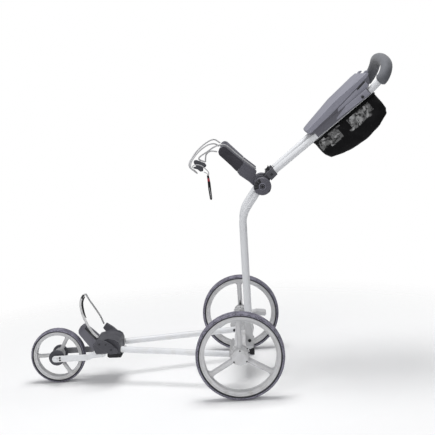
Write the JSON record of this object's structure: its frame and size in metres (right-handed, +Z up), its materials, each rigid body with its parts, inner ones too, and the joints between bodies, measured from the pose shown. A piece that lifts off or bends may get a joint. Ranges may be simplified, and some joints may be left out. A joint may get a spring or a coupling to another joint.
{
  "type": "golf push trolley",
  "caption": "Folding golf push trolley with a U-shaped grip handle, lidded console, net pocket, upper and lower bag brackets, elastic bag straps and a foot brake.",
  "frame": {"origin": "centre of the bounding box's footprint, on the ground under the wheels", "axes": "+Z up, -X towards the front wheel, +X towards the handle, -Y the trolley's left"},
  "size_m": [1.2919, 0.6606, 1.0872],
  "materials": {
    "white_frame": "satin",
    "silver_plastic": "satin",
    "charcoal_plastic": "satin",
    "lid_grey": "satin",
    "black_plastic": "satin",
    "tyre_rubber": "matte",
    "grip_rubber": "matte",
    "steel": "satin",
    "net_fabric": "matte",
    "elastic_cord": "matte"
  },
  "bodies": {
    "rear_frame": {"axle_housing": "silver_plastic", "axle_shaft": "steel", "ear_plate_left": "silver_plastic", "ear_plate_right": "silver_plastic", "upright_bracket_left": "silver_plastic", "upright_bracket_right": "silver_plastic", "upright_stop_block": "black_plastic", "upright_tube_left": "white_frame", "upright_tube_right": "white_frame", "joint_hub_left": "charcoal_plastic", "joint_hub_right": "charcoal_plastic", "joint_bolt": "black_plastic", "bag_arm_left": "charcoal_plastic", "bag_arm_right": "charcoal_plastic", "bag_cheek_left": "charcoal_plastic", "bag_cheek_right": "charcoal_plastic", "bungee_far": "elastic_cord", "bungee_near": "elastic_cord", "bungee_hook": "charcoal_plastic", "hook_loop": "elastic_cord", "pull_tab": "net_fabric"},
    "rear_wheel_left": {"rear_tyre_left": "tyre_rubber", "rear_wheel_centre_left": "silver_plastic", "rear_hub_cap_left": "silver_plastic", "brake_ring_left": "silver_plastic"},
    "rear_wheel_right": {"rear_tyre_right": "tyre_rubber", "rear_wheel_centre_right": "silver_plastic", "rear_hub_cap_right": "silver_plastic", "brake_ring_right": "silver_plastic"},
    "front_frame": {"lower_tube_left": "white_frame", "lower_tube_right": "white_frame", "bracket_housing": "charcoal_plastic", "bracket_wing_left": "charcoal_plastic", "bracket_wing_right": "charcoal_plastic", "bracket_toe": "charcoal_plastic", "toe_strap": "elastic_cord", "strap_tab": "black_plastic", "fork_pin": "steel"},
    "fork": {"fork_arm_left": "white_frame", "fork_arm_right": "white_frame", "front_axle": "white_frame"},
    "front_wheel": {"front_tyre": "tyre_rubber", "front_wheel_centre": "silver_plastic", "front_hub_disc_left": "charcoal_plastic", "front_hub_disc_right": "charcoal_plastic"},
    "latch_foot": {"latch_foot": "black_plastic"},
    "handle": {"leg_collar_left": "charcoal_plastic", "leg_collar_right": "charcoal_plastic", "handle_leg_left": "white_frame", "handle_leg_right": "white_frame", "handle_grip": "grip_rubber", "console_base": "charcoal_plastic", "net_rim": "net_fabric", "net_bag": "net_fabric"},
    "lid": {"console_lid": "lid_grey"},
    "wing_nut": {"joint_wing_nut": "black_plastic"},
    "pedal": {"brake_pedal": "silver_plastic"},
    "brake_pin_left": {"brake_pin_left": "steel"},
    "brake_pin_right": {"brake_pin_right": "steel"}
  },
  "joints": [
    {"name": "rear_wheel_left_spin", "type": "hinge", "parent": "rear_frame", "child": "rear_wheel_left", "pos_m": [0.1013, -0.3, 0.145], "axis": [0, 1, 0], "continuous": true},
    {"name": "rear_wheel_right_spin", "type": "hinge", "parent": "rear_frame", "child": "rear_wheel_right", "pos_m": [0.1013, 0.3, 0.145], "axis": [0, 1, 0], "continuous": true},
    {"name": "front_frame_fold", "type": "hinge", "parent": "rear_frame", "child": "front_frame", "pos_m": [0.0768, 0, 0.113], "axis": [0, 1, 0], "range_deg": [0, 60]},
    {"name": "fork_fold", "type": "hinge", "parent": "front_frame", "child": "fork", "pos_m": [-0.3847, 0, 0.1065], "axis": [0, 1, 0], "range_deg": [-110, 0]},
    {"name": "front_wheel_spin", "type": "hinge", "parent": "fork", "child": "front_wheel", "pos_m": [-0.5497, 0, 0.09625], "axis": [0, 1, 0], "continuous": true},
    {"name": "latch_foot_press", "type": "hinge", "parent": "front_frame", "child": "latch_foot", "pos_m": [-0.3677, 0, 0.101], "axis": [0, 1, 0], "range_deg": [0, 10], "stiffness_Nm_per_rad": 0.5, "springref_deg": -11.46},
    {"name": "handle_fold", "type": "hinge", "parent": "rear_frame", "child": "handle", "pos_m": [0.2053, 0, 0.667], "axis": [0, 1, 0], "range_deg": [0, 110]},
    {"name": "lid_open", "type": "hinge", "parent": "handle", "child": "lid", "pos_m": [0.3613, 0, 0.83], "axis": [0, 1, 0], "range_deg": [-85, 0]},
    {"name": "wing_nut_turn", "type": "hinge", "parent": "handle", "child": "wing_nut", "pos_m": [0.2275, -0.055, 0.7218], "axis": [-0.7071, 0, 0.7071], "range_deg": [0, 180]},
    {"name": "pedal_press", "type": "hinge", "parent": "rear_frame", "child": "pedal", "pos_m": [0.1073, 0, 0.178], "axis": [0, 1, 0], "range_deg": [0, 20]},
    {"name": "brake_pin_left_slide", "type": "slide", "parent": "rear_frame", "child": "brake_pin_left", "axis": [0, -1, 0], "range_m": [0, 0.0081]},
    {"name": "brake_pin_right_slide", "type": "slide", "parent": "rear_frame", "child": "brake_pin_right", "axis": [0, 1, 0], "range_m": [0, 0.0081]}
  ],
  "couplings": [
    {"joint": "brake_pin_left_slide", "follows": "pedal_press", "m_per_rad": 0.0229},
    {"joint": "brake_pin_right_slide", "follows": "pedal_press", "m_per_rad": 0.0229}
  ]
}
